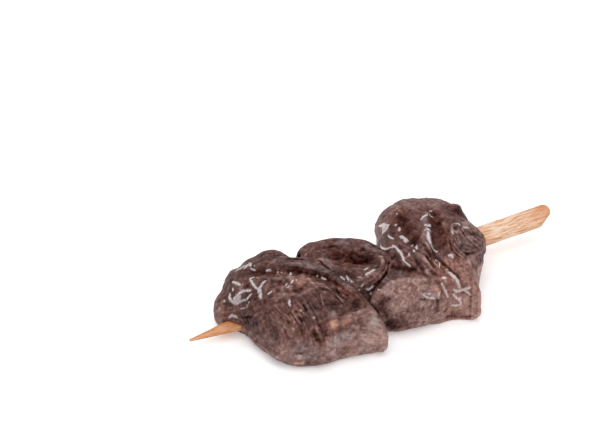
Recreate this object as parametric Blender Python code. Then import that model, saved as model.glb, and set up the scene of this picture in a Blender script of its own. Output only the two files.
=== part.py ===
"""Beef kebab: two browned beef chunks pressed together on a flat bamboo paddle skewer.

Metres, +Z up. The shapes are laid out in millimetres from the skewer's tip: x runs along
the skewer from tip to handle, y across it, z up from the surface it lies on. At the end
everything is moved so that the origin is under the middle of the whole, on that surface.
"""

import math

import bmesh
import bpy
from mathutils import Matrix, Vector
from mathutils.bvhtree import BVHTree
from mathutils.geometry import intersect_point_line
from mathutils.kdtree import KDTree

MM = 0.001

# ---- driving dimensions, in mm ---------------------------------------------------------

SKEWER_LENGTH = 151.5
SKEWER_THICKNESS = 1.9
SHAFT_WIDTH = 6.0
TIP_WIDTH = 0.9
TIP_THICKNESS = 0.8
TAPER_LENGTH = 19.0
PADDLE_WIDTH = 10.1
PADDLE_START = 119.0
SHOULDER_RUN = 7.0
SHOULDER_BEND_RUN = 2.5
SHOULDER_BEND_RISE = 1.2
PADDLE_NOSE_RUN = 7.2
PADDLE_NOSE_SIDE = 5.6
TIP_ROUND = 0.3
PADDLE_CORNER_ROUND = 2.2
PADDLE_NOSE_ROUND = 2.5
SHOULDER_CORNER_ROUND = 1.2
SHOULDER_FILLET = 3.0
SKEWER_EDGE_ROUND = 0.3
SKEWER_RISE = math.radians(3.5)
TIP_HEIGHT = 4.0

CLEARANCE = 0.3
MEAT_VOXEL = 1.1
MEAT_SMOOTHING = 3
RELIEF_SMOOTHING = 2
MEAT_TRIANGLES = 4300
SHARP_ANGLE = math.radians(50)

# Each lobe: its middle, the outline at its widest level, the heights of its underside,
# widest level and top, how square its section is above and below the widest level, and
# how much narrower the underside is.
TIP_DOME = {
    "middle": (41.0, -6.0),
    "outline": [
        (16.0, 6.0), (17.0, 2.5), (19.0, -1.0), (20.0, -4.0), (21.5, -10.0), (24.0, -18.0),
        (27.5, -25.5), (37.0, -31.3), (48.0, -31.8), (58.0, -32.7), (65.0, -33.8), (65.8, -25.0),
        (66.0, -8.0), (61.0, 8.0), (50.0, 17.0), (38.0, 24.0), (27.0, 23.5), (19.0, 15.0),
    ],
    "heights": (-1.5, 7.0, 25.0),
    "square": (2.15, 4.5),
    "tuck": 0.97,
}
TIP_TOE = {
    "middle": (20.0, 7.5),
    "outline": [
        (13.2, 5.5), (14.6, 3.0), (19.0, 0.5), (27.0, 2.0), (29.0, 9.0), (24.0, 16.0),
        (17.5, 14.0), (13.6, 10.0),
    ],
    "heights": (-1.5, 6.0, 14.0),
    "square": (2.4, 3.0),
    "tuck": 0.85,
}
TIP_BACK = {
    "middle": (38.0, 8.0),
    "outline": [
        (27.0, 6.0), (28.5, 13.0), (33.0, 18.5), (39.5, 20.0), (44.5, 16.5), (47.5, 10.0),
        (46.5, 3.0), (40.0, -1.0), (33.0, 0.0),
    ],
    "heights": (-1.5, 9.0, 24.3),
    "square": (2.8, 4.0),
    "tuck": 0.95,
}
TIP_FOLD = {
    "middle": (64.0, -2.0),
    "outline": [
        (47.5, 8.0), (49.0, 16.0), (54.0, 20.0), (62.0, 19.5), (70.0, 16.5), (77.5, 12.5),
        (80.8, 4.5), (81.0, -4.0), (79.5, -10.0), (74.5, -14.5), (66.5, -17.0), (58.0, -17.0),
        (48.5, -2.0),
    ],
    "heights": (-1.5, 8.0, 23.5),
    "square": (3.0, 4.0),
    "tuck": 0.9,
}
HANDLE_BODY = {
    "middle": (95.0, 0.0),
    "outline": [
        (64.0, -23.0), (71.0, -26.5), (80.0, -28.0), (89.0, -27.5), (97.0, -26.5), (106.0, -23.5),
        (110.5, -17.0), (116.0, -9.0), (121.3, -3.0), (120.5, 4.0), (119.5, 10.0), (120.0, 17.0),
        (117.5, 24.5), (109.5, 29.5), (100.5, 32.0), (92.5, 30.0), (86.5, 24.0), (83.0, 14.0),
        (80.0, 3.0), (76.0, -7.0), (69.0, -12.5), (63.5, -17.0),
    ],
    "heights": (-1.5, 8.0, 24.5),
    "square": (2.4, 4.5),
    "tuck": 0.95,
}
HANDLE_CORNER = {
    "middle": (97.0, -20.0),
    "outline": [
        (82.0, -22.0), (88.0, -26.0), (96.0, -27.0), (104.0, -31.0), (105.5, -26.0),
        (107.0, -18.0), (104.0, -11.0), (94.0, -10.0),
    ],
    "heights": (-1.5, 8.0, 20.0),
    "square": (3.0, 5.0),
    "tuck": 0.97,
}

# Relief: the points of a mark, its half width, and how far it stands out (+) or sinks in
# (-). Points (x, y) lie on the upper side, points (x, y, z) on the nearest face.
TIP_RELIEF = [
    # the valley behind the dome's crest
    ([(27, 8), (32, 3), (38, 0), (43, -3), (47.5, -7), (51, -12.5), (54, -20), (57, -26)], 2.0, -2.6),
    # the rolled band behind that valley
    ([(33, 7), (40, 5.5), (45, 4), (49, 0), (52, -5), (54.5, -12), (57, -18), (61.5, -24)], 2.4, 1.4),
    # the seam between the band and the fold
    ([(46, 9), (51, 4), (54.5, -1), (57, -8), (60, -14), (66, -19)], 1.8, -1.8),
    # the hollow in the top of the fold
    ([(61, 1), (66, -0.5), (70, -2)], 6.0, -3.6),
    # the lip round that hollow
    ([(59, -6), (62, -10.5), (68, -13.5), (75, -11), (79, -4), (78, 4)], 2.0, 1.6),
    # the notch at the fold's back corner
    ([(47, 18), (47.5, 9)], 2.2, -4.0),
    # folds down the far side
    ([(26, 16, 18), (30, 22, 12), (33, 25, 4)], 2.2, -1.6),
    ([(47, 16, 20), (46, 20, 12), (46, 22, 3)], 2.6, -2.4),
    ([(60, 17, 19), (62, 20, 12), (60, 20, 4)], 2.0, -1.8),
    # shallow folds down the near side
    ([(44, -26, 15), (46, -31, 8), (50, -32, 2)], 2.4, -0.9),
    ([(30, -18, 15), (33, -26, 8), (36, -30, 2)], 2.2, -0.8),
]
HANDLE_RELIEF = [
    # the deep valley that runs down to the front corner
    ([(105, 12), (101.5, 3), (98, -6), (95.5, -12), (95, -18), (97, -25), (98, -29)], 2.2, -3.4),
    # the lip beside it
    ([(101.5, 10), (98, 2.5), (94.5, -6), (92.5, -13)], 1.8, 1.4),
    # the shallow valley nearer the fold
    ([(92, 15), (89, 3), (87.5, -8)], 3.0, -1.8),
    # the crease beside the fold
    ([(84, 3), (83.5, -3), (82.5, -9), (83, -14)], 1.8, -1.4),
    # the overhang above the front face
    ([(74, -14), (79, -17), (84.5, -20), (89, -24)], 2.2, -2.4),
    # the pad at the handle end
    ([(108, 2), (113, -3), (114, -10)], 4.5, 1.2),
    ([(104, -3), (107, -9), (107, -16)], 2.0, -1.2),
    # folds down the far side
    ([(94, 28, 16), (93, 31, 11), (92, 31, 4)], 2.4, -1.8),
    ([(110, 25, 15), (111, 28, 10), (109, 28, 4)], 2.2, -1.6),
    ([(84, 14, 16), (85, 20, 10), (87, 24, 4)], 2.2, -1.6),
    # a fold across the handle end
    ([(117, -8, 8), (119.5, 0, 6), (118.5, 12, 7)], 1.8, -1.2),
]


# ---- helpers ---------------------------------------------------------------------------

def clear_scene():
    for item in list(bpy.data.objects):
        bpy.data.objects.remove(item, do_unlink=True)


def material(name, red, green, blue, roughness):
    made = bpy.data.materials.new(name)
    made.use_nodes = True
    shader = made.node_tree.nodes["Principled BSDF"]
    shader.inputs["Base Color"].default_value = (red, green, blue, 1.0)
    shader.inputs["Roughness"].default_value = roughness
    shader.inputs["Metallic"].default_value = 0.0
    return made


def new_mesh(name, bm):
    mesh = bpy.data.meshes.new(name)
    bm.to_mesh(mesh)
    bm.free()
    return mesh


def add_object(name, mesh):
    made = bpy.data.objects.new(name, mesh)
    bpy.context.scene.collection.objects.link(made)
    return made


def helper_object(name, mesh):
    made = add_object(name, mesh)
    made.hide_render = True
    made.display_type = "WIRE"
    return made


def settle(target):
    """Replace the object's mesh by the one its modifiers give, and drop the modifiers."""
    graph = bpy.context.evaluated_depsgraph_get()
    result = bpy.data.meshes.new_from_object(target.evaluated_get(graph))
    target.modifiers.clear()
    target.data = result


def cut(target, cutter):
    modifier = target.modifiers.new("cut", "BOOLEAN")
    modifier.operation = "DIFFERENCE"
    modifier.solver = "EXACT"
    modifier.object = cutter
    settle(target)


def rounded_corner(before, corner, after, radius, steps):
    """Points of the arc that rounds a corner of an outline."""
    here = Vector(corner)
    to_before = (Vector(before) - here).normalized()
    to_after = (Vector(after) - here).normalized()
    half_angle = to_before.angle(to_after) / 2
    reach = radius / math.tan(half_angle)
    start = here + to_before * reach
    end = here + to_after * reach
    centre = here + (to_before + to_after).normalized() * (radius / math.sin(half_angle))
    from_centre = start - centre
    turn = from_centre.angle_signed(end - centre)
    points = []
    for step in range(steps + 1):
        spoke = from_centre.copy()
        spoke.rotate(Matrix.Rotation(-turn * step / steps, 2))
        points.append(centre + spoke)
    return points


def round_outline(corners, steps=5):
    """A closed outline whose corners, given as (x, y, radius), are rounded."""
    points = []
    for index, (x, y, radius) in enumerate(corners):
        if radius == 0:
            points.append(Vector((x, y)))
            continue
        before = corners[index - 1][:2]
        after = corners[(index + 1) % len(corners)][:2]
        points += rounded_corner(before, (x, y), after, radius, steps)
    return points


# ---- the skewer ------------------------------------------------------------------------

def skewer_outline(grow):
    """Seen from above; grow widens it all round for the channel through the meat."""
    near = -SHAFT_WIDTH / 2 - grow
    far = SHAFT_WIDTH / 2 + grow
    paddle_far = PADDLE_WIDTH - SHAFT_WIDTH / 2 + grow
    tip = TIP_WIDTH / 2 + grow
    end = SKEWER_LENGTH + grow
    return round_outline([
        (-grow, -tip, TIP_ROUND),
        (TAPER_LENGTH, near, 0),
        (end - PADDLE_NOSE_RUN, near, PADDLE_NOSE_ROUND),
        (end, near + PADDLE_NOSE_SIDE, PADDLE_NOSE_ROUND),
        (end, paddle_far, PADDLE_CORNER_ROUND),
        (PADDLE_START - grow, paddle_far, SHOULDER_CORNER_ROUND),
        (PADDLE_START - SHOULDER_BEND_RUN - grow, far + SHOULDER_BEND_RISE, SHOULDER_FILLET),
        (PADDLE_START - SHOULDER_RUN, far, SHOULDER_FILLET),
        (TAPER_LENGTH, far, 0),
        (-grow, tip, TIP_ROUND),
    ])


def skewer_mesh(name, grow, edge_round):
    bm = bmesh.new()
    thickness = SKEWER_THICKNESS + 2 * grow
    tip_share = TIP_THICKNESS / SKEWER_THICKNESS
    corners = [bm.verts.new((p.x, p.y, -thickness / 2)) for p in skewer_outline(grow)]
    face = bm.faces.new(corners)
    made = bmesh.ops.extrude_face_region(bm, geom=[face])
    lifted = [item for item in made["geom"] if isinstance(item, bmesh.types.BMVert)]
    bmesh.ops.translate(bm, verts=lifted, vec=(0, 0, thickness))
    bmesh.ops.recalc_face_normals(bm, faces=bm.faces)
    for vert in bm.verts:
        along = min(1.0, max(0.0, vert.co.x / TAPER_LENGTH))
        vert.co.z *= tip_share + (1 - tip_share) * along
    if edge_round:
        rims = [edge for edge in bm.edges if abs(edge.calc_face_angle(0)) > math.radians(60)]
        bmesh.ops.bevel(
            bm, geom=rims, offset=edge_round, segments=2, profile=0.5, affect="EDGES", material=-1
        )
    lean = Matrix.Translation((0, 0, TIP_HEIGHT)) @ Matrix.Rotation(-SKEWER_RISE, 4, "Y")
    bmesh.ops.transform(bm, matrix=lean, verts=bm.verts)
    return new_mesh(name, bm)


# ---- the meat --------------------------------------------------------------------------

def smooth_through(points, closed, per_span):
    """Points along a smooth curve (Catmull-Rom) through the given ones."""
    vectors = [Vector(p) for p in points]
    count = len(vectors)
    spans = count if closed else count - 1
    curve = []
    for span in range(spans):
        if closed:
            a, b, c, d = (vectors[(span + shift) % count] for shift in (-1, 0, 1, 2))
        else:
            b, c = vectors[span], vectors[span + 1]
            a = vectors[span - 1] if span else b
            d = vectors[span + 2] if span + 2 < count else c
        for step in range(per_span):
            t = step / per_span
            curve.append(
                0.5 * (2 * b + (c - a) * t + (2 * a - 5 * b + 4 * c - d) * t**2
                       + (3 * b - a - 3 * c + d) * t**3)
            )
    if not closed:
        curve.append(vectors[-1])
    return curve


def reach_by_angle(lobe):
    """A function giving how far the lobe's outline is from its middle in each direction."""
    middle = Vector(lobe["middle"])
    spokes = []
    for point in smooth_through(lobe["outline"], True, 12):
        spoke = point - middle
        spokes.append((math.atan2(spoke.y, spoke.x), spoke.length))
    spokes.sort()
    first, last = spokes[0], spokes[-1]
    spokes = [(last[0] - math.tau, last[1])] + spokes + [(first[0] + math.tau, first[1])]

    def reach(angle):
        for (low, near), (high, far) in zip(spokes, spokes[1:]):
            if low <= angle <= high:
                return near + (far - near) * (angle - low) / max(high - low, 1e-9)
        return spokes[0][1]

    return reach


def add_lobe(bm, lobe):
    """A pillow of meat: a ball pulled out to the lobe's outline and heights."""
    reach = reach_by_angle(lobe)
    bottom, waist, top = lobe["heights"]
    square_above, square_below = lobe["square"]
    ball = bmesh.ops.create_icosphere(bm, subdivisions=5, radius=1.0)["verts"]
    for vert in ball:
        x, y, z = vert.co
        flat = math.hypot(x, y)
        angle = math.atan2(y, x)
        # the round section made squarer: |flat|^power + |z|^power = 1
        power = square_above if z > 0 else square_below
        swell = (flat**power + abs(z) ** power) ** (-1 / power)
        spread = flat * swell * reach(angle)
        height = z * swell
        if height < 0:
            spread *= 1 - (1 - lobe["tuck"]) * -height
            level = waist + height * (waist - bottom)
        else:
            level = waist + height * (top - waist)
        vert.co = (
            lobe["middle"][0] + spread * math.cos(angle),
            lobe["middle"][1] + spread * math.sin(angle),
            level,
        )


def nearest_on_route(point, samples, index):
    """How far the point is from the route near a sample, and how far along the route (0-1)."""
    best_gap, best_along = (point - samples[index]).length, index
    for start in (index - 1, index):
        if start < 0 or start + 1 >= len(samples):
            continue
        share = intersect_point_line(point, samples[start], samples[start + 1])[1]
        share = min(1.0, max(0.0, share))
        here = samples[start].lerp(samples[start + 1], share)
        gap = (point - here).length
        if gap < best_gap:
            best_gap, best_along = gap, start + share
    return best_gap, best_along / max(len(samples) - 1, 1)


def apply_relief(bm, marks):
    """Raise or sink the skin along each mark, less towards a long mark's ends."""
    tree = BVHTree.FromBMesh(bm)
    for points, half_width, rise in marks:
        samples = []
        for point in smooth_through(points, False, 5):
            if len(point) == 2:
                hit = tree.ray_cast(point.to_3d() + Vector((0, 0, 100)), Vector((0, 0, -1)))[0]
            else:
                hit = tree.find_nearest(point)[0]
            if hit is not None:
                samples.append(hit)
        route = KDTree(len(samples))
        for index, sample in enumerate(samples):
            route.insert(sample, index)
        route.balance()
        bm.normal_update()
        fades = (samples[0] - samples[-1]).length > 5 * half_width
        moves = []
        for vert in bm.verts:
            _, index, gap = route.find(vert.co)
            if gap > 3 * half_width:
                continue
            gap, along = nearest_on_route(vert.co, samples, index)
            fade = min(1.0, 5 * along + 0.35, 5 * (1 - along) + 0.35) if fades else 1.0
            moves.append((vert, vert.normal * rise * fade * math.exp(-((gap / half_width) ** 2))))
        for vert, move in moves:
            vert.co += move


def meat_object(name, lobes, marks):
    """The lobes grown into one skin, with their relief, thinned to few enough faces."""
    bm = bmesh.new()
    for lobe in lobes:
        add_lobe(bm, lobe)
    chunk = add_object(name, new_mesh(name, bm))
    remesh = chunk.modifiers.new("one skin", "REMESH")
    remesh.mode = "VOXEL"
    remesh.voxel_size = MEAT_VOXEL
    soften = chunk.modifiers.new("soften", "SMOOTH")
    soften.factor = 0.5
    soften.iterations = MEAT_SMOOTHING
    settle(chunk)
    bm = bmesh.new()
    bm.from_mesh(chunk.data)
    apply_relief(bm, marks)
    for _ in range(RELIEF_SMOOTHING):
        bmesh.ops.smooth_vert(
            bm, verts=bm.verts, factor=0.5, use_axis_x=True, use_axis_y=True, use_axis_z=True
        )
    bmesh.ops.triangulate(bm, faces=bm.faces)
    bm.to_mesh(chunk.data)
    bm.free()
    thin = chunk.modifiers.new("fewer faces", "DECIMATE")
    thin.ratio = MEAT_TRIANGLES / len(chunk.data.polygons)
    settle(chunk)
    return chunk


def block(name, low, high):
    bm = bmesh.new()
    bmesh.ops.create_cube(bm, size=1.0)
    size = Vector(high) - Vector(low)
    bmesh.ops.scale(bm, vec=size, verts=bm.verts)
    bmesh.ops.translate(bm, vec=(Vector(low) + Vector(high)) / 2, verts=bm.verts)
    return helper_object(name, new_mesh(name, bm))


def swollen_copy(name, source, amount):
    """The source's mesh pushed out along its normals, to keep a gap to its neighbour."""
    bm = bmesh.new()
    bm.from_mesh(source.data)
    bm.normal_update()
    for vert in bm.verts:
        vert.co += vert.normal * amount
    return helper_object(name, new_mesh(name, bm))


# ---- putting it together ---------------------------------------------------------------

def finish(parts):
    """Scale to metres and put the origin under the middle of the whole."""
    lows = []
    highs = []
    for part in parts:
        xs, ys, zs = zip(*(vert.co for vert in part.data.vertices))
        lows.append((min(xs), min(ys), min(zs)))
        highs.append((max(xs), max(ys), max(zs)))
    low = [min(values) for values in zip(*lows)]
    high = [max(values) for values in zip(*highs)]
    move = Vector((-(low[0] + high[0]) / 2, -(low[1] + high[1]) / 2, -low[2]))
    for part in parts:
        part.data.transform(Matrix.Scale(MM, 4) @ Matrix.Translation(move))
        part.data.shade_smooth()
        part.data.set_sharp_from_angle(angle=SHARP_ANGLE)
    print("origin is at", [round(-value, 3) for value in move], "mm from the skewer's tip")


def main():
    clear_scene()
    bamboo = material("bamboo", 0.80, 0.58, 0.40, 0.6)
    browned_beef = material("browned beef", 0.10, 0.045, 0.035, 0.4)

    stick = add_object("stick", skewer_mesh("stick", 0.0, SKEWER_EDGE_ROUND))
    channel = helper_object("skewer channel", skewer_mesh("skewer channel", CLEARANCE, 0.0))

    tip_side = meat_object("meat_tip_side", [TIP_DOME, TIP_TOE, TIP_BACK, TIP_FOLD], TIP_RELIEF)
    handle_side = meat_object("meat_handle_side", [HANDLE_BODY, HANDLE_CORNER], HANDLE_RELIEF)

    ground = block("ground", (-60, -80, -40), (210, 80, 0))
    cut(tip_side, ground)
    cut(handle_side, ground)
    cut(handle_side, swollen_copy("neighbour with gap", tip_side, CLEARANCE))
    cut(tip_side, channel)
    cut(handle_side, channel)

    stick.data.materials.append(bamboo)
    for chunk in (tip_side, handle_side):
        chunk.data.materials.clear()
        chunk.data.materials.append(browned_beef)
    finish([stick, tip_side, handle_side])


main()
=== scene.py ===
"""Beef kebab: the looks of two seared, glazed beef chunks on a split bamboo paddle skewer.

Shapes are laid out in millimetres from the skewer's tip: x runs along the skewer from tip to
handle, y across it, z up from the table. Each chunk starts as the CAD solid, grown into one
dense skin, and is carved by moving that skin's points. Every point also keeps how light, how
wet and how red the beef is there, and the beef's material reads that. How light it is also
carries painted shade and painted highlight in places.
"""

import math

import bmesh
import bpy
import numpy as np
from mathutils import Matrix, Vector, noise
from mathutils.bvhtree import BVHTree


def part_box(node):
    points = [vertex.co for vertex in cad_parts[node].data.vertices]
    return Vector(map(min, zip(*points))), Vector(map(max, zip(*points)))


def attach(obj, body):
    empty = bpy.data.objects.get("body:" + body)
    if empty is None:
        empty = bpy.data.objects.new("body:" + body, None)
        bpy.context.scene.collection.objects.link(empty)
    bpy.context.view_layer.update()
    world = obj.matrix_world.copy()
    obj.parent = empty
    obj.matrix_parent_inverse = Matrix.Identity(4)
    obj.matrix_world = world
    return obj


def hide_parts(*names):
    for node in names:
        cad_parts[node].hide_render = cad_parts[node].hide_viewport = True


MM = 0.001

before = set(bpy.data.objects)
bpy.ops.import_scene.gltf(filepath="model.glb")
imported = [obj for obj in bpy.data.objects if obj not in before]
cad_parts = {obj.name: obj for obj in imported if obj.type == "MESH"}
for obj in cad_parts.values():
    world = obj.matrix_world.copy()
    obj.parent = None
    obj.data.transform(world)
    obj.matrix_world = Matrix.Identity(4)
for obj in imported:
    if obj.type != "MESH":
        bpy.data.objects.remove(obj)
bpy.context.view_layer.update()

# ---- where things are ------------------------------------------------------------------

SHAFT_WIDTH = 6.0
STICK_LOW, STICK_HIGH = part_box("stick")
# the skewer's tip, on the table: the zero of every length below
ZERO = np.array([STICK_LOW.x, STICK_LOW.y + SHAFT_WIDTH / 2 * MM, 0.0])

CAMERA_TURN = math.radians(24.6)
CAMERA_RISE = math.radians(38.0)
CAMERA_DISTANCE = 1122.3
CAMERA_AIM = (54.97, 22.68, 24.74)

SKIN_PITCH = 0.37
FACET_ROUNDS = 8


def placed(point):
    """A point in mm from the skewer's tip, in the object's own frame."""
    return Vector(ZERO) + Vector(point) * MM


def linear(hex_colour):
    """An sRGB hex colour as the linear RGBA that a shader takes."""
    channels = [int(hex_colour[i:i + 2], 16) / 255 for i in (1, 3, 5)]
    flat = [c / 12.92 if c <= 0.04045 else ((c + 0.055) / 1.055) ** 2.4 for c in channels]
    return (*flat, 1.0)


def add_object(name, data):
    made = bpy.data.objects.new(name, data)
    bpy.context.scene.collection.objects.link(made)
    return made


# ---- the dense skin of a chunk ---------------------------------------------------------

def smooth_through(points, per_span):
    """Points along a smooth curve through the given ones."""
    knots = [Vector(p) for p in points]
    knots = [2 * knots[0] - knots[1]] + knots + [2 * knots[-1] - knots[-2]]
    curve = []
    for a, b, c, d in zip(knots, knots[1:], knots[2:], knots[3:]):
        for step in range(per_span):
            t = step / per_span
            curve.append(
                0.5 * (2 * b + (c - a) * t + (2 * a - 5 * b + 4 * c - d) * t**2
                       + (3 * b - a - 3 * c + d) * t**3)
            )
    curve.append(knots[-2])
    return curve


def merged_copy(node):
    """The CAD node's shape as one closed mesh, in mm from the tip."""
    shape = bmesh.new()
    shape.from_mesh(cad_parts[node].data)
    bmesh.ops.remove_doubles(shape, verts=shape.verts, dist=1e-6)
    to_mm = Matrix.Scale(1 / MM, 4) @ Matrix.Translation(-Vector(ZERO))
    bmesh.ops.transform(shape, matrix=to_mm, verts=shape.verts)
    return shape


def fill_channel(shape, start, end):
    """Fill the channel, so that the meat grips the skewer: a fat length of it, capped."""
    plug = merged_copy("stick")
    for x, side in ((start, -1), (end, 1)):
        everything = plug.verts[:] + plug.edges[:] + plug.faces[:]
        cut = bmesh.ops.bisect_plane(
            plug, geom=everything, plane_co=(x, 0, 0), plane_no=(side, 0, 0), clear_outer=True
        )
        rim = [item for item in cut["geom_cut"] if isinstance(item, bmesh.types.BMEdge)]
        bmesh.ops.holes_fill(plug, edges=rim)
    plug.normal_update()
    for vert in plug.verts:
        vert.co += vert.normal * 0.9
    mesh = bpy.data.meshes.new("channel plug")
    plug.to_mesh(mesh)
    plug.free()
    shape.from_mesh(mesh)
    bpy.data.meshes.remove(mesh)


class Skin:
    """A chunk's surface while it is carved."""

    def __init__(self, name, node, plug_ends):
        shape = merged_copy(node)
        fill_channel(shape, *plug_ends)
        mesh = bpy.data.meshes.new(name)
        shape.to_mesh(mesh)
        shape.free()
        self.piece = add_object(name, mesh)
        grown = self.piece.modifiers.new("one skin", "REMESH")
        grown.mode = "VOXEL"
        grown.voxel_size = SKIN_PITCH
        graph = bpy.context.evaluated_depsgraph_get()
        dense = bpy.data.meshes.new_from_object(self.piece.evaluated_get(graph))
        self.piece.modifiers.clear()
        self.piece.data = dense
        dense.name = name
        count = len(dense.vertices)
        flat = np.empty(count * 3)
        dense.vertices.foreach_get("co", flat)
        self.points = flat.reshape(-1, 3)
        ends = np.empty(len(dense.edges) * 2, int)
        dense.edges.foreach_get("vertices", ends)
        self.edges = ends.reshape(-1, 2).T
        dense.calc_loop_triangles()
        corners = np.empty(len(dense.loop_triangles) * 3, int)
        dense.loop_triangles.foreach_get("vertices", corners)
        self.triangles = corners.reshape(-1, 3)
        self.neighbours = np.bincount(ends, minlength=count)
        self.looks = {look: np.zeros(count) for look in ("tone", "wet", "warm")}
        self.level = np.zeros(count)
        self.run = self.points.copy()
        self.points = self.spread(self.points, FACET_ROUNDS)
        self.settle()

    def spread(self, values, rounds, share=0.5):
        """Draw each point's value towards the mean of its neighbours'."""
        a, b = self.edges
        count = len(self.neighbours)
        for _ in range(rounds):
            columns = [
                np.bincount(a, column[b], count) + np.bincount(b, column[a], count)
                for column in np.atleast_2d(values.T)
            ]
            mean = np.array(columns) / self.neighbours
            values = values + share * (mean.T.reshape(values.shape) - values)
        return values

    def settle(self):
        """Work out the normals and the nearest-point tree again, after moves."""
        a, b, c = (self.points[self.triangles[:, corner]] for corner in range(3))
        facing = np.cross(b - a, c - a)
        count = len(self.points)
        total = np.zeros((count, 3))
        for corner in range(3):
            for axis in range(3):
                total[:, axis] += np.bincount(self.triangles[:, corner], facing[:, axis], count)
        self.normals = total / np.linalg.norm(total, axis=1, keepdims=True)
        soft = self.spread(self.normals, 9)
        self.soft = soft / np.linalg.norm(soft, axis=1, keepdims=True)
        self.tree = BVHTree.FromPolygons(self.points.tolist(), self.triangles.tolist())

    def route(self, points):
        """A smooth route over the skin, near the given points."""
        return np.array([self.tree.find_nearest(p)[0] for p in smooth_through(points, 5)])

    def beside(self, route, reach):
        """The points within reach of a route, how far they are off it (left is plus), and
        how far along it they are, from 0 to 1."""
        inside = (self.points > route.min(0) - reach) & (self.points < route.max(0) + reach)
        near = np.nonzero(inside.all(1))[0]
        here, up = self.points[near], self.soft[near]
        gap = np.full(len(near), 1e9)
        share = np.zeros(len(near))
        spans = np.linalg.norm(np.diff(route, axis=0), axis=1)
        starts = np.concatenate(([0], np.cumsum(spans)))
        for index, span in enumerate(spans):
            if span < 1e-6:
                continue
            ahead = (route[index + 1] - route[index]) / span
            t = np.clip((here - route[index]) @ ahead, 0, span)
            off = here - route[index] - t[:, None] * ahead
            distance = np.linalg.norm(off, axis=1)
            closer = distance < np.abs(gap)
            side = np.where((off * np.cross(up, ahead)).sum(1) < 0, -1, 1)
            gap[closer] = (distance * side)[closer]
            share[closer] = (starts[index] + t[closer]) / starts[-1]
        keep = np.abs(gap) < reach
        return near[keep], gap[keep], share[keep]

    def tint(self, near, amount, looks):
        for look, value in looks.items():
            self.looks[look][near] += value * amount

    def mark(self, points, left, right=None, edge=0.4, ends=0.2, **looks):
        """Raise or sink the skin beside a route. left and right are (rise, width); looks are
        what it adds along the route, within the wider of the two widths."""
        right = right or left
        near, gap, share = self.beside(self.route(points), 2.6 * max(left[1], right[1]))
        on_left = 0.5 + 0.5 * np.tanh(gap / edge)
        fade = np.clip(np.minimum(share, 1 - share) / ends, 0, 1)
        fade = fade * fade * (3 - 2 * fade)
        falls = [np.exp(-((gap / width) ** 2)) for _, width in (left, right)]
        rise = on_left * left[0] * falls[0] + (1 - on_left) * right[0] * falls[1]
        self.points[near] += self.soft[near] * (rise * fade)[:, None]
        for look, value in looks.items():
            values = value if isinstance(value, tuple) else (value, value)
            amount = on_left * values[0] * falls[0] + (1 - on_left) * values[1] * falls[1]
            self.looks[look][near] += amount * fade

    def dab(self, point, radius, rise=0.0, flat=2, **looks):
        """Raise or sink a round patch, and add looks there."""
        here = np.array(self.tree.find_nearest(point)[0])
        gap = np.linalg.norm(self.points - here, axis=1)
        near = np.nonzero(gap < 2.6 * radius)[0]
        amount = np.exp(-((gap[near] / radius) ** flat))
        self.points[near] += self.soft[near] * (rise * amount)[:, None]
        self.tint(near, amount, looks)

    def film(self, points, width, turn=0.93, rise=0.12):
        """A streak or pool of glaze: it swells, and its own surface settles towards the way
        that shines."""
        near, gap, share = self.beside(self.route(points), 2.2 * width)
        uneven = 1 + 0.5 * rough(self.points[near] / 0.9 + 7.1)
        body = width * uneven * (0.6 + 0.4 * np.sqrt(4 * share * (1 - share)))
        self.points[near] += self.soft[near] * (rise * np.exp(-((gap / body) ** 2)))[:, None]
        self.pool(near, np.exp(-((gap / body) ** 4)), turn)

    def drop(self, point, radius, turn=0.93, rise=0.12):
        """A drop of glaze."""
        here = np.array(self.tree.find_nearest(point)[0])
        gap = np.linalg.norm(self.points - here, axis=1)
        near = np.nonzero(gap < 2 * radius)[0]
        self.points[near] += self.soft[near] * (rise * np.exp(-((gap[near] / radius) ** 2)))[:, None]
        self.pool(near, np.exp(-((gap[near] / radius) ** 4)), turn)

    def pool(self, near, amount, turn):
        self.looks["wet"][near] = np.maximum(self.looks["wet"][near], amount)
        self.level[near] = np.maximum(self.level[near], turn)

    def comb(self, share, across, along, stretch=8.0):
        """Set which way the finest fibres run: along lines of equal `across`."""
        taken = share > 0.5
        self.run[taken] = np.stack([across, along / stretch, across * 0], 1)[taken]

    def strands(self, points, width, pitch, rise, tone=0.0):
        """Fibres that run side by side along a route, out to the given width."""
        near, gap, share = self.beside(self.route(points), 1.5 * width)
        here = self.points[near]
        wobble = rough(here / 3.0) * 0.4
        lines = np.stack([gap / pitch + wobble, here @ CATCH / 12, share * 2], 1)
        wave = rough(lines) * np.exp(-((gap / width) ** 4)) * np.clip(6 * share * (1 - share), 0, 1)
        self.points[near] += self.soft[near] * (rise * wave)[:, None]
        self.looks["tone"][near] += tone * wave

    def ripple(self, share, across, along, pitch, rise, tone=0.0, stretch=8.0, sharp=0.0):
        """Muscle fibres: ridges that follow lines of equal `across`."""
        near = np.nonzero(share > 0.02)[0]
        lines = np.stack(
            [across[near] / pitch, along[near] / (pitch * stretch), np.full(len(near), 3.7)], 1
        )
        wave = rough(lines)
        if sharp:
            wave = (1 - sharp) * wave + sharp * (0.5 - 2 * np.abs(rough(lines + 11.3)))
        wave = wave * share[near]
        self.points[near] += self.soft[near] * (rise * wave)[:, None]
        self.looks["tone"][near] += tone * wave

    def soothe(self, points, width, rounds=36):
        """Smooth the skin along a route."""
        near, gap, _ = self.beside(self.route(points), 2 * width)
        smooth = self.spread(self.points, rounds)
        amount = np.exp(-((gap / width) ** 2))[:, None]
        self.points[near] += amount * (smooth[near] - self.points[near])

    def lumps(self, size, rise, share=1.0, seed=0.0, tone=0.0, wet=0.0, warm=0.0):
        """Uneven flesh: bumps and hollows of about the given size."""
        wave = rough(self.points / size + seed) * share
        self.points += self.soft * (rise * wave)[:, None]
        self.looks["tone"] += tone * wave
        self.looks["wet"] += wet * wave
        self.looks["warm"] += warm * wave

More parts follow.
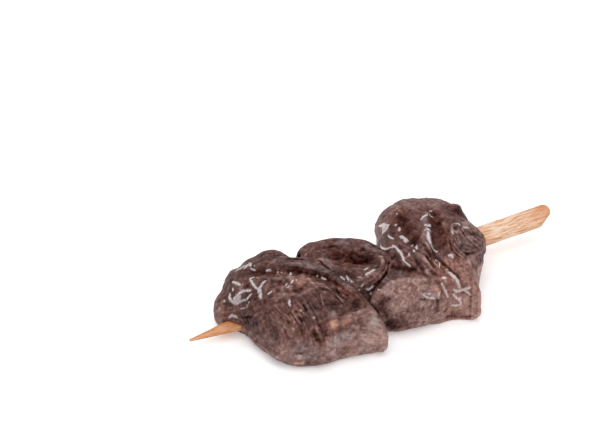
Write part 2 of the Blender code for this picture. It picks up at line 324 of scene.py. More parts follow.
    def finish(self):
        """Measure how sunk each point is, which the material paints as shade in hollows and as light
        on ridges; put the points back in the piece, and store the looks.
        """
        self.points[:, 2] = np.maximum(self.points[:, 2], 0.0)
        self.settle()
        mesh = self.piece.data
        for rounds, name in ((11, "fine_painted_shade"), (80, "broad_painted_shade")):
            level = ((self.points - self.spread(self.points, rounds)) * self.soft).sum(1)
            self.looks[name] = self.spread(level, 2)
        for look, values in self.looks.items():
            stored = mesh.attributes.new(look, "FLOAT", "POINT")
            stored.data.foreach_set("value", values.astype(np.float32))
        # the top of the glaze is more level than the flesh under it, and ripples a little;
        # where the flesh faces the camera it shines from overhead, elsewhere from the back
        from_back = np.clip((self.soft @ np.array(KEY_FROM) - 0.05) / 0.1, 0, 1)[:, None]
        catch = TOP_CATCH + from_back * (CATCH - TOP_CATCH)
        facing = self.soft + self.level[:, None] * (catch - self.soft)
        for axis in range(3):
            facing[:, axis] += 0.16 * rough(self.points / 1.1 + 31.7 * axis)
        facing /= np.linalg.norm(facing, axis=1, keepdims=True)
        for name, vectors in (("glaze_facing", facing), ("fibre_run", self.run * MM)):
            stored = mesh.attributes.new(name, "FLOAT_VECTOR", "POINT")
            stored.data.foreach_set("vector", vectors.astype(np.float32).ravel())
        mesh.vertices.foreach_set("co", (self.points * MM + ZERO).ravel())
        mesh.shade_smooth()
        mesh.update()


def rough(points):
    """Soft noise, from -1 to 1, at each of the given points."""
    return np.array([noise.noise(p) for p in points.tolist()])


def bump_between(values, low, high, soft):
    """1 between low and high, 0 outside, with soft sides."""
    rise = np.clip((values - low) / soft + 0.5, 0, 1)
    fall = np.clip((high - values) / soft + 0.5, 0, 1)
    return rise * rise * (3 - 2 * rise) * fall * fall * (3 - 2 * fall)


# the directions a wet patch faces to throw the back light, or the top light, at the camera
to_camera = Vector((
    -math.sin(CAMERA_TURN) * math.cos(CAMERA_RISE),
    -math.cos(CAMERA_TURN) * math.cos(CAMERA_RISE),
    math.sin(CAMERA_RISE),
))
KEY_FROM = Vector((0.05, 0.62, 0.78)).normalized()
TOP_FROM = Vector((-0.05, -0.3, 1.0)).normalized()
CATCH = np.array((to_camera + KEY_FROM).normalized())
TOP_CATCH = np.array((to_camera + TOP_FROM).normalized())


# ---- the chunk at the tip --------------------------------------------------------------

tip_skin = Skin("beef_tip_side", "meat_tip_side", (20.0, 74.0))
x, y, z = tip_skin.points.T
upper = bump_between(z, 13, 40, 8)

# the whole skin is a little uneven, paler towards the table
tip_skin.looks["tone"] += 0.6 - 0.16 * upper
tip_skin.lumps(8.0, 0.4, seed=5.2, tone=0.06)
tip_skin.lumps(3.5, 0.22, seed=1.7, tone=0.08)
# paler and darker patches; the paler ones at (61.5, -22, 19) and (62, -27, 17) are painted light in
# the crevice beside the handle chunk
for patch, radius, tone in (
    ((33, -24, 13), 11, 0.05), ((25, -8, 18), 4, 0.06), ((54, -17, 22), 3.5, 0.08),
    ((34, 10.5, 23), 3, -0.07), ((61.5, -22, 19), 2.5, 0.12), ((62, -27, 17), 2, 0.12),
    ((41.5, -24, 20), 2.5, 0.1),
):
    tip_skin.dab(patch, radius, flat=4, tone=tone)

# behind the crest: a narrow red valley that widens to the right, then a rolled band painted grey as
# sheen
tip_skin.mark(
    [(27, 9, 20), (30.5, 6, 21.5), (33.5, 3.5, 22), (37, 1.5, 23), (41.5, 0, 23.5),
     (44.5, -2.5, 23.5), (47.5, -5, 23), (50, -8.5, 23), (52.5, -12, 23), (54, -16, 22.5),
     (55.5, -19.5, 21.5), (57, -23.5, 20)],
    (-0.25, 0.8), (-0.4, 0.8), tone=-0.12, warm=0.6, ends=0.12,
)
for start, radius in (((43, -1.5, 23.5), 1.5), ((51, -9.5, 23), 1.6), ((55, -20, 21), 1.7)):
    tip_skin.dab(start, radius, tone=-0.12, warm=0.5)
BAND = [(36.5, 3.5, 24), (40, 3, 24.5), (45, 0.5, 24.5), (49, -3.5, 24.5), (52.5, -8, 24),
        (56, -13.5, 23), (59.5, -18, 20.5), (63, -22, 18)]
tip_skin.mark(BAND, (0.3, 2.2), (0.3, 1.8), tone=-0.1, warm=-0.5, wet=0.1)
# the band's fibres are real ridges; they and a line along its top are painted pale as highlight
tip_skin.strands(BAND, 2.6, 0.8, 0.12, tone=0.3)
tip_skin.mark(
    [(39, 3, 24.5), (42, 2.2, 24.5), (46, 0, 24.8), (50, -4, 24.5)], (0.1, 0.5), tone=0.2,
    warm=-0.4,
)
# the facet behind the band, painted grey as sheen: a pale left edge, a notch sunk and darkened as
# painted shade, and a dark seam to its right
tip_skin.dab((39.5, 8, 24.5), 3.5, rise=-0.2, tone=-0.02, warm=-0.5)
tip_skin.mark([(33.5, 5.5, 23.5), (36, 5.5, 24.5), (39.5, 6.5, 25), (42, 7, 25)], (0.12, 0.45),
              (-0.1, 0.5), edge=0.2, tone=(0.3, -0.05))
tip_skin.mark([(40.5, 5, 25), (44, 4, 25), (47, 3, 25), (50, 3, 23)], (-0.2, 0.4), tone=-0.3,
              warm=0.5)
tip_skin.dab((49.5, 14, 17.5), 1.6, rise=-0.8, tone=-0.6)

# the fold: a smooth brown membrane, painted grey at the back as sheen, that dips to a black
# hollow on the right behind a thick fibrous rim
tip_skin.dab((57, 1, 20), 3.0, tone=0.08)
FOLD_FLOOR = [(57, 6, 21.5), (61, 4, 21), (65, 1, 20), (69, -1.5, 20), (72.5, -1.5, 20)]
tip_skin.mark(FOLD_FLOOR, (-0.3, 3.5), (-0.5, 3.0), edge=2.0, tone=-0.2, warm=1.0, ends=0.3)
tip_skin.strands(FOLD_FLOOR, 7.0, 1.2, 0.06, tone=0.2)
tip_skin.dab((68, -3.5, 20.5), 2.6, rise=-0.5, tone=-0.3, warm=0.6)
tip_skin.dab((71.5, -1.2, 20), 2.2, rise=-0.4, tone=-0.3, warm=0.6)
# pale grey patches at the back of the fold: painted sheen
for patch, radius in (((65.5, 7.5, 22), 2.4), ((75.5, 2, 20.5), 2.0), ((73.5, 4.5, 21.5), 1.6)):
    tip_skin.dab(patch, radius, tone=0.12, warm=-0.8, wet=0.1)
tip_skin.dab((71.5, 3, 21.5), 0.8, tone=-0.2)
tip_skin.mark([(57.5, 9, 22), (60.5, 8, 22), (63, 8.5, 22)], (-0.2, 0.6), tone=-0.2)
tip_skin.mark([(50.5, 9.5, 20), (52, 9.5, 21)], (0.2, 0.5), tone=0.3, ends=0.4)
RIM = [(58, -9.5, 20.5), (60, -12.5, 20), (62.5, -14, 20), (65.5, -14.5, 21), (69.5, -13, 21.5),
       (74, -9.5, 21), (76.5, -4, 20.5), (76.5, 0.5, 20.5)]
tip_skin.mark(RIM, (0.35, 1.6), (0.35, 1.4), tone=0.14)
tip_skin.strands(RIM, 2.8, 0.75, 0.18, tone=0.32)
tip_skin.mark(
    [(77.5, -4, 20.5), (77, -8.5, 21), (75, -12.5, 21), (73, -14.5, 20.5), (70, -15.5, 19),
     (67.5, -17, 18)],
    (-0.4, 0.9), tone=-0.35, warm=0.4,
)
# a crack that runs down beside a pale lip, and a pale slope to the right of them
tip_skin.mark([(53, 4.5, 20.5), (54.5, 3.5, 21), (55, 1.5, 20.5), (55.8, -1, 20.5), (56, -3.5, 20.5)],
              (0.35, 0.5), (-0.7, 0.6), edge=0.2, tone=(0.32, -0.35), warm=(-0.2, 0.6))
tip_skin.mark([(54.5, 4.5, 21.5), (56.5, 1.5, 21), (57.8, -2, 20.5), (58.5, -6, 21)],
              (0.15, 0.9), tone=0.12, warm=-0.8)
tip_skin.mark([(46, 3, 25), (48.5, 2.5, 24.5), (51, 4, 22), (53, 4, 20.5)], (-0.2, 0.4), tone=-0.25)

# the crest: pale bumpy flesh with pits; its right end is split by fine pale ridges
crest = bump_between(z, 18, 40, 4) * bump_between(y, -15, 2, 3) * bump_between(x, 28, 47, 5)
tip_skin.looks["tone"] += 0.06 * crest
tip_skin.lumps(1.8, 0.2, share=crest, seed=3.3, tone=0.24)
tip_skin.dab((41, -9, 24.5), 3.0, tone=0.14, warm=0.5)
for pit, radius, tone in (
    ((24, 1.5, 20.5), 0.9, -0.2), ((34.5, -5, 24), 0.7, -0.4), ((31, -8.5, 23), 0.9, -0.2),
    ((37, -12.5, 24), 1.0, -0.3), ((39.5, -12.5, 24), 0.8, -0.3), ((29.5, 9, 21), 0.8, -0.15),
):
    tip_skin.dab(pit, radius, rise=-0.35, tone=tone, warm=0.4)
for ridge in (
    [(35.5, -15, 23.5), (37.5, -15, 24), (40.5, -14.5, 24), (43, -14, 24.5), (44.5, -14, 24.5)],
    [(44, -6, 23), (44, -10, 24.5), (45, -13.5, 24.5), (45.5, -16, 24)],
    [(45, -16, 24), (47.5, -17, 23.5)],
):
    tip_skin.mark(ridge, (0.2, 0.45), tone=0.3)

# the near face: under a pale fold, fine pale fibres on red flesh that run down to the table
near_face = bump_between(x, 25, 45, 5) * bump_between(z, 12, 23.5, 4) * bump_between(y, -60, -13, 3)
leaning = x + 0.12 * (y + 20)
tip_skin.looks["tone"] += 0.03 * near_face
tip_skin.looks["warm"] += 0.15 * near_face
tip_skin.ripple(near_face, leaning, z - y, 1.0, 0.16, tone=0.2, stretch=6, sharp=0.4)
tip_skin.mark(
    [(25.5, -9, 19), (28.5, -11, 21), (31, -12.5, 22.3), (33.5, -13.5, 22.8)],
    (0.25, 1.0), tone=0.1,
)
tip_skin.strands([(44.5, -11, 24.5), (48, -14, 23.5), (51.5, -17.5, 22), (54, -22, 20.5)],
                 3.5, 0.9, 0.2, tone=0.4)
for fibre in (
    [(28.5, -13.5, 20.5), (29, -16, 20), (29.5, -18, 19.5)],
    [(30, -18, 20), (30.5, -20, 19.5), (31, -21.5, 19)],
    [(32.5, -18, 21.5), (32.5, -20, 20.5), (33, -22, 19.5), (33.5, -23.5, 18.5), (34, -25, 18)],
    [(35, -16, 23), (36, -18.5, 22.5), (36.5, -21, 21.5)],
    [(35.5, -21, 21), (36.5, -22.5, 20.5), (37, -24, 20)],
    [(28, -18.5, 17.5), (28.5, -21, 16.5), (29.5, -23, 16)],
    [(26.5, -18, 16), (27, -20, 15)],
    [(38, -27, 17.5), (38.5, -29, 15.5)],
    [(44, -15, 24), (45, -16.5, 24), (44.5, -18.5, 23), (44, -20.5, 22), (43.5, -22.5, 21.5)],
    [(52.5, -14.5, 22), (53, -17, 21), (54, -20.5, 20.5)],
    [(50.5, -17.5, 23), (51, -21, 22), (52, -24, 21)],
):
    tip_skin.mark(fibre, (0.2, 0.35), (-0.25, 0.6), edge=0.2, tone=(0.42, -0.12),
                  warm=(-0.4, 0.2))
for furrow, width, tone in (
    ([(37, -18.3, 22.5), (37.2, -19.5, 22.3), (37.5, -22, 21.3)], 0.35, -0.4),
    ([(37, -27, 17.5), (37.5, -28.5, 15.5), (38, -30, 13)], 0.8, -0.3),
    ([(42, -28, 16.5), (41.5, -30, 14)], 1.0, -0.3),
    ([(28.5, -17.5, 19), (29.5, -20, 18.5)], 0.6, -0.3),
    ([(34, -22, 20), (35, -24, 19)], 0.6, -0.3),
    ([(30, -20, 19), (30.5, -22, 18)], 0.5, -0.3),
    ([(52, -13.5, 22), (53, -18, 21), (55, -21.5, 20)], 0.5, -0.18),
):
    tip_skin.mark(furrow, (-0.25, width), tone=tone)
for spot, radius, tone in (
    ((31.5, -19, 20.5), 0.6, -0.3), ((34, -20, 21), 0.6, -0.35), ((40, -27, 18), 0.5, -0.4),
    ((38.5, -30, 13.5), 1.4, -0.2), ((47.5, -22, 21), 2.4, -0.12), ((56.5, -23.5, 20), 1.8, -0.25),
    ((35.5, -20.5, 21.5), 0.45, 0.7), ((39, -24.5, 20), 0.45, 1.0), ((32, -22.5, 19), 0.4, 0.5),
    ((31, -24, 17), 0.5, 0.5), ((42.5, -29, 15), 0.45, 0.5), ((26, -12, 18), 0.45, 0.5),
):
    tip_skin.dab(spot, radius, tone=tone)
# a grey patch under the fold, and a pale fatty blob with an orange middle
tip_skin.mark([(41.5, -17.5, 23), (39.5, -22, 21), (40, -26, 19)], (-0.15, 2.4), tone=-0.12,
              warm=-0.8, ends=0.35)
tip_skin.dab((46.2, -25.3, 19.5), 1.3, rise=0.2, tone=0.34, warm=-0.8)
tip_skin.dab((45.5, -28, 17), 2.0, rise=0.25, flat=4, tone=0.16, warm=1.1)
tip_skin.dab((49.7, -28.5, 17), 1.3, rise=0.15, tone=0.1, warm=1.2)

# smooth pale flesh low on the right, with a pale edge along its top
low_right = bump_between(x, 42, 80, 5) * bump_between(y, -60, -26, 3)
tip_skin.looks["tone"] += 0.18 * low_right
tip_skin.dab((58.5, -32, 11), 5.0, tone=0.14)
tip_skin.dab((49, -33, 6), 4.0, tone=-0.1)
tip_skin.dab((34, -27, 9), 4.0, tone=0.1, warm=-0.5)
tip_skin.dab((63, -33, 3.5), 2.0, rise=0.9, flat=3)
tip_skin.mark([(48, -26.5, 18.5), (51.5, -26.5, 19), (55.5, -26.5, 19), (60.5, -26, 19)],
              (-0.3, 0.9), (0.3, 1.3), edge=0.4, tone=(-0.1, 0.1))
for patch, radius in (((44.5, -30.5, 11), 2.4), ((49, -31, 12.5), 1.8), ((60.5, -31, 15.5), 2.2)):
    tip_skin.dab(patch, radius, tone=0.14, warm=-0.8)

# a faint highlight painted pale along a ridge between the wet patches of the dome, and a pale line
# near it
tip_skin.mark([(20.5, 1.5, 17.5), (21.5, 2, 18.5), (22.5, 3, 19.5), (24, 3.5, 20.5)],
              (0.15, 0.45), tone=0.35)
tip_skin.mark([(28, 4, 21.5), (29, 1.5, 22.5), (32, 4, 21.5)], (0.1, 0.4), tone=0.25)

# beside the skewer: smooth flesh darkened and greyed as painted shade, a crease over it sunk and
# painted black as shade, stripes round its foot
tip_skin.dab((20.5, -5, 9.5), 2.6, rise=-0.2, flat=3, tone=-0.2, warm=-0.6)
tip_skin.dab((21.5, -9.5, 11), 3.0, tone=-0.18, warm=-0.5)
tip_skin.mark([(19, -1.5, 9.5), (21, -5.5, 12.3), (22.5, -8.5, 14.5)], (0.25, 0.8), (-0.4, 0.6),
              edge=0.2, tone=(-0.1, -0.45))
tip_skin.strands([(20, -3.5, 9), (21.5, -8.5, 9.5), (23, -14, 10.5)], 3.5, 1.1, 0.08, tone=0.14)
tip_skin.mark([(24.5, -17, 12), (25.5, -20, 12.5), (27, -22.5, 13)], (-0.15, 1.4), tone=-0.16,
              warm=-0.4, ends=0.35)
FOOT_RIM = [(20, -6, 4.5), (22.5, -12, 4.5), (24, -18, 4.5), (26, -22.5, 4.5), (29, -26, 4.5)]
tip_skin.mark(FOOT_RIM, (0.9, 3.0))
tip_skin.strands(FOOT_RIM, 2.5, 0.9, 0.14, tone=0.22)
tip_skin.mark(FOOT_RIM, (0.25, 0.7), tone=0.22, warm=-0.3)
tip_skin.mark([(22.5, -14, 1.5), (24.5, -19, 1.8), (26.5, -22.5, 2), (29, -26, 2)], (-0.4, 0.8),
              tone=-0.35)
tip_skin.dab((31.5, -28, 6.5), 1.1, rise=0.25, tone=0.25)
tip_skin.mark([(29.5, -27, 3.6), (31.5, -28, 3.6), (33.5, -28.5, 3.8)], (0.2, 0.6), tone=0.35,
              warm=1.0)
tip_skin.mark([(30, -27, 8), (32.5, -28.5, 8)], (-0.2, 0.5), tone=-0.25)

# the far side is out of sight: a few creases, finished like the side that shows
for crease, width, tone in (
    ([(22, 20, 14), (28, 24, 12), (33, 26, 7)], 0.8, -0.25),
    ([(36, 20, 18), (42, 24, 13), (46, 26, 6)], 0.6, -0.3),
    ([(54, 22, 16), (60, 24, 11), (64, 24, 5)], 0.8, -0.25),
    ([(72, 14, 17), (75, 16, 11), (76, 17, 6)], 0.6, -0.3),
):
    tip_skin.mark(crease, (-0.45, width), (0.2, width), edge=0.3, tone=(tone, 0.08))

# fine fibres and crumbs everywhere
sideways = y + 0.4 * x + 0.5 * z
tip_skin.ripple(1 - near_face, sideways, x, 1.2, 0.08, tone=0.10, stretch=4)
tip_skin.comb(1 - near_face, sideways, x - y, stretch=5)
tip_skin.comb(near_face, leaning, z - y)
tip_skin.lumps(1.9, 0.10, seed=6.6, tone=0.14)
tip_skin.lumps(1.0, 0.09, seed=8.8, tone=0.16)
tip_skin.settle()
for streak, width in (
    ([(21.5, 9.5, 17.5), (22, 7, 18.5), (22.5, 4, 19.5)], 0.6),
    ([(20.5, 6.5, 17), (20, 5, 17)], 0.5),
    ([(18.5, 5.5, 15.5), (18, 4, 14.5), (18.5, 2, 14.5), (20, 0.5, 15), (20.5, 0, 16)], 0.9),
    ([(19, 1.5, 15), (20, 1.5, 16), (20.5, 1.5, 17.5), (21, 1.5, 18)], 0.7),
    ([(18.8, 2.2, 15), (19.8, 1.4, 16.2), (21, 1, 17.4)], 1.25),
    ([(21, 1.5, 18), (22.5, 1, 19), (24.5, -1, 20)], 0.55),
    ([(20.5, -0.5, 16), (22, -1.5, 17), (23, -2, 18)], 0.5),
    ([(23, -2, 18), (24, -2, 19.5)], 0.35),
    ([(26, 3, 21.5), (26, 1, 21.5), (26, -1, 21.5), (26.5, -2, 21)], 0.5),
    ([(26, 3.5, 21.5), (28, 4, 21.5)], 0.55),
    ([(30, -1.5, 23.5), (28.5, -2, 22.5), (27.5, -2.5, 22), (26.5, -2.5, 21)], 0.5),
    ([(27, -2.5, 21.5), (26.5, -4, 21), (26, -6, 20)], 0.85),
    ([(28.5, -7, 21.5), (30, -7, 22.5)], 0.4),
    ([(16.5, 1.5, 8), (17.5, 1, 9), (18.5, 0, 9), (19, -0.5, 8.5)], 0.6),
    ([(21.5, -3.5, 15), (22.5, -3.5, 17)], 0.35),
    ([(20, -1, 13), (21, -3, 14.5)], 0.25),
    ([(25.5, 15, 17), (26.5, 14.5, 18), (27, 14, 19)], 0.7),
    ([(26.5, 13, 19), (28, 14, 19.5), (28.5, 12.5, 20.5)], 0.7),
    ([(27.5, 12, 20.5), (30, 13, 20.5), (29.5, 11, 21.5)], 0.75),
    ([(29, 10, 21), (30, 7.5, 21.5)], 0.3),
    ([(33, 4.5, 22.5), (34.5, 3.5, 23)], 0.5),
    ([(40.5, -0.5, 23), (39.2, -3, 24)], 0.4),
    ([(36, -7.5, 24.5), (35, -8.5, 24)], 0.35),
    ([(38.5, -7.5, 25), (37, -8.5, 24.5)], 0.35),
    ([(42.5, -6.5, 24.5), (44, -5, 23)], 0.4),
    ([(35, -9.5, 24), (36, -9.5, 24.5)], 0.25),
    ([(33.5, -15, 23), (33, -16, 22.5), (33, -17, 22)], 0.5),
    ([(49.5, -8, 23), (50.5, -9.5, 23)], 0.35),
    ([(57.5, -7.5, 20.5), (58, -10, 20.5)], 0.35),
    ([(59, -9.5, 21.5), (59.5, -11, 20.5), (60.5, -12.5, 20.5)], 0.5),
    ([(62, -12.5, 22.5), (63.5, -13.5, 22)], 0.35),
    ([(65.5, -10.5, 22.5), (67.5, -9.5, 22)], 0.3),
    ([(65, -13, 22.5), (67.5, -12, 22), (70, -10.5, 21.5)], 0.6),
    ([(62.5, -14.5, 19), (63.5, -14.5, 20)], 0.35),
    ([(64.5, -15.5, 18), (65.5, -15.5, 17.5), (67, -15.5, 18.5)], 0.45),
    ([(61, -15, 18.5), (61.5, -15, 18)], 0.3),
    ([(66, -20.5, 16), (66, -21, 15), (65.5, -22, 14.5)], 0.45),
    ([(24, 22, 9), (27, 24, 11), (30, 24, 10)], 0.6),
    ([(40, 24, 13), (42, 25, 10), (42, 26, 7)], 0.5),
    ([(60, 22, 14), (63, 23, 11), (67, 22, 11)], 0.6),
    ([(70, 18, 13), (72, 18, 10)], 0.4),
):
    tip_skin.film(streak, width)
for drop, radius in (
    ((16.5, 5.5, 13), 0.45), ((14.5, 5, 10.5), 0.4), ((22.5, -3.5, 17), 0.45),
    ((30.5, 9.5, 22), 0.4), ((36.5, 2, 22.5), 0.35), ((37.5, 1, 23), 0.35), ((39.5, -8, 25), 0.4),
    ((48.5, -6.5, 23), 0.3), ((66, -17, 16), 0.4),
):
    tip_skin.drop(drop, radius)
tip_skin.finish()

# ---- the chunk at the handle -----------------------------------------------------------

handle_skin = Skin("beef_handle_side", "meat_handle_side", (68.0, 113.0))
x, y, z = handle_skin.points.T
upper = bump_between(z, 13, 40, 8)
handle_skin.looks["tone"] += 0.62 - 0.14 * upper
handle_skin.lumps(7.0, 0.4, seed=2.2, tone=0.06)
handle_skin.lumps(3.3, 0.25, seed=4.4, tone=0.08)
# paler and darker patches; the paler one at (68.5, -24.5, 12) is painted light in the crevice beside
# the tip chunk
for patch, radius, tone in (
    ((107, 13, 22.5), 3.5, 0.1), ((106.5, -1, 23.5), 3, -0.12), ((68.5, -24.5, 12), 3.5, 0.22),
):
    handle_skin.dab(patch, radius, flat=4, tone=tone)
handle_skin.mark([(84, -27, 3), (88, -27, 3), (93, -27, 3), (98, -27.5, 3)], (0, 1.3), tone=-0.16)
handle_skin.dab((116.5, 11, 19), 4.0, rise=1.2)
handle_skin.dab((114.5, 11, 21), 2.6, rise=1.8, flat=3)
handle_skin.dab((114, 7.5, 20.5), 3.2, tone=-0.24, warm=-0.1)

# the far top is pale and dry; smooth red hollows lie on both sides of the wet ridge
handle_skin.looks["tone"] += 0.1 * bump_between(y, 14, 60, 4)
for hollow, radius in (
    ((92, 14, 22), 3.0), ((91, 9, 22), 2.6), ((91, 4.5, 22.5), 2.6), ((90.5, -2, 23), 2.2),
    ((103, 3.5, 22), 2.8), ((101.5, -2.5, 23), 2.8), ((100, -8, 23), 2.4), ((104.5, 9, 22), 2.2),
):
    handle_skin.dab(hollow, radius, rise=-0.25, tone=-0.22, warm=0.8)
handle_skin.soothe([(105, 11, 22), (102, 7, 23), (99.5, 3, 23.5), (98, -2, 23.5), (96.5, -7, 22.5)],
                   2.5)
WET_RIDGE = [(103.5, 12, 22), (100.5, 8, 24), (98, 4, 25), (96, -1.5, 25), (94.8, -5, 25),
             (94, -8, 24.5), (94, -12, 22.5)]
handle_skin.mark(WET_RIDGE, (0.5, 1.2), (0.5, 1.2), tone=0.16, warm=-0.6)
handle_skin.strands(WET_RIDGE, 2.2, 0.9, 0.16, tone=0.12)
# the deep groove that runs from the ridge down to the front corner, and creases beside it
handle_skin.mark(
    [(94, -7, 24.5), (94, -10, 23), (95.2, -13.5, 20), (96, -17, 19.5), (97, -20, 18.5),
     (98, -22.5, 18), (98.3, -25.5, 16)],
    (-0.4, 0.5), (-0.5, 0.6), tone=-0.3, ends=0.15,
)
LEFT_SLOPE = [(90, -5, 23.5), (90.5, -10, 23.5), (91.5, -16, 22), (93, -20, 19.5)]
handle_skin.strands(LEFT_SLOPE, 4.5, 1.1, 0.35, tone=0.45)
for crease in (
    [(85.5, -12, 23), (85.5, -16, 22.5), (87, -18.5, 20.5)],
    [(85.5, -17.5, 20.5), (87, -19.5, 19.5), (88.5, -21, 18.5)],
    [(89.5, -12.5, 23.5), (91, -16, 22), (92.5, -18, 20.5)],
    [(88.5, -18.5, 21), (90.5, -20.5, 20), (93, -22, 19)],
):
    handle_skin.mark(crease, (-0.4, 0.6), (-0.2, 0.8), tone=-0.28)
# the lip that hangs over the fold, and the valley under it, sunk and darkened as painted shade
handle_skin.mark(
    [(82.5, 10.5, 14), (82, 8, 14.5), (81.5, 4, 17), (82.5, 2, 18.5), (84, 0.5, 19.5),
     (83.5, -3, 20.5), (82.5, -7.5, 22.5), (81.8, -11, 22.5), (82.5, -14.5, 22)],
    (0.3, 0.9), (0.5, 0.7), tone=0.1,
)
handle_skin.mark([(81, -2, 19), (80.5, -7, 22), (79.5, -11, 22.5), (80, -14, 21.8)],
                 (-0.3, 1.2), tone=-0.3, warm=0.4)
# a crease along the front of the top, sunk and darkened as painted shade
handle_skin.mark(
    [(75.5, -10, 22), (77.5, -12.5, 21.5), (80, -14.5, 21.5), (82.5, -16, 21.5), (85, -16.5, 22)],
    (-0.5, 1.3), (-0.5, 1.0), tone=-0.38, ends=0.15, warm=0.4,
)
handle_skin.dab((77.5, -15, 20.5), 1.8, tone=0.05, warm=-0.9)
handle_skin.dab((72.5, -15.5, 20.5), 2.2, tone=0.05, warm=-0.9)

# the near face: granular pale flesh that bulges at its top, darker towards the table
near_face = bump_between(y, -60, -18, 3) * bump_between(x, 60, 89.5, 2)
bulge = near_face * bump_between(z, 13.5, 30, 3)
handle_skin.points += handle_skin.soft * (0.4 * bulge)[:, None]
handle_skin.looks["tone"] += 0.16 * bulge + 0.12 * near_face
handle_skin.lumps(1.6, 0.2, share=near_face, seed=9.1, tone=0.1)
handle_skin.lumps(0.8, 0.10, share=near_face, seed=6.1, tone=0.12)
# dabs sunk and darkened as painted shade, in the crevice by the tip chunk and low down towards the
# table
for shade, radius, tone in (
    ((67.5, -22.5, 16), 2.2, -0.36), ((68, -24.5, 12.5), 2.2, -0.36), ((70, -22.5, 16.5), 1.3, -0.3),
    ((66.5, -23, 13.5), 1.6, -0.3), ((69, -25.5, 8.5), 2.4, -0.45), ((71, -26, 5.5), 3.2, -0.5),
    ((76, -27.5, 4), 2.6, -0.25),
    ((74, -27, 8.5), 1.8, -0.2), ((81, -27.5, 9), 4.0, -0.06), ((91, -27, 7), 0.6, -0.4),
):
    handle_skin.dab(shade, radius, rise=0.6 * tone, tone=tone)
handle_skin.mark([(80, -26, 15.3), (82.5, -26.3, 15), (85, -26.5, 14.5)], (-0.3, 0.6), tone=-0.25)
handle_skin.mark(
    [(88, -26.3, 14.5), (88, -27, 12.5), (88, -27.5, 10), (87.5, -27.5, 7)],
    (-0.4, 0.7), (-0.5, 0.8), tone=-0.3,
)
handle_skin.dab((88.3, -25, 16.2), 0.9, rise=0.3, tone=0.3, warm=1.2)

# pale flesh at the front corner, and painted shade on the underside of its rim
corner = bump_between(x, 90, 125, 3) * bump_between(y, -60, -14, 4)
handle_skin.looks["tone"] += 0.2 * corner
handle_skin.looks["warm"] += 0.3 * corner
handle_skin.mark([(90.5, -26.3, 4), (93, -26.5, 3.5), (96, -27, 2.5), (99, -28, 2.5),
                  (102.5, -30, 4)],
                 (0.1, 0.6), (-0.4, 1.1), edge=0.8, tone=(0.0, -0.35))
handle_skin.dab((102.8, -30.2, 4), 2.2, rise=0.6, flat=3)

# the far side is out of sight: a few creases, finished like the side that shows
for crease, width, tone in (
    ([(82, 24, 12), (88, 30, 10), (93, 32, 5)], 0.8, -0.25),
    ([(94, 26, 18), (99, 31, 12), (102, 32, 6)], 0.6, -0.3),
    ([(108, 20, 18), (112, 24, 12), (113, 25, 6)], 0.8, -0.25),
):
    handle_skin.mark(crease, (-0.45, width), (0.2, width), edge=0.3, tone=(tone, 0.08))

# the wavy end pad, with a ringed pore above it
on_pad = bump_between(x, 103.5, 130, 2.5) * bump_between(y, -19, 2, 3)
handle_skin.looks["warm"] -= 0.15 * on_pad
handle_skin.looks["tone"] += 0.06 * on_pad
for wave in (
    [(105.5, -5, 22.5), (105, -7.5, 22), (104.5, -10, 22), (106, -12.5, 20), (110, -12.5, 17.5)],
    [(109.5, -3, 23), (110, -6.5, 21.5), (111.5, -9.5, 19.5), (114.5, -10.5, 16)],
    [(112, -4.5, 22), (113.5, -6.5, 20), (116.5, -7, 16.5)],
    [(103, -7, 23), (101.5, -11.5, 23), (101.5, -14, 22), (104, -18, 19.5)],
):
    handle_skin.mark(wave, (0.25, 0.6), (-0.4, 0.6), edge=0.25, tone=(0.16, -0.26))
    handle_skin.strands(wave, 1.8, 0.7, 0.20, tone=0.3)
# the pore's ring is raised, and painted pale as highlight
handle_skin.mark(
    [(108.6, -2.7, 23.2), (107.2, -0.9, 23.4), (105.8, -2.7, 23.2), (107.2, -4.6, 22.8),
     (108.6, -2.7, 23.2)],
    (0.45, 0.5), tone=0.22, ends=0.02,
)
handle_skin.dab((107.2, -2.7, 23.2), 0.9, rise=-0.4, tone=-0.2)
handle_skin.mark([(100.5, -19.5, 20), (102, -20.5, 19.3)], (-0.3, 0.6), tone=-0.35, ends=0.3)

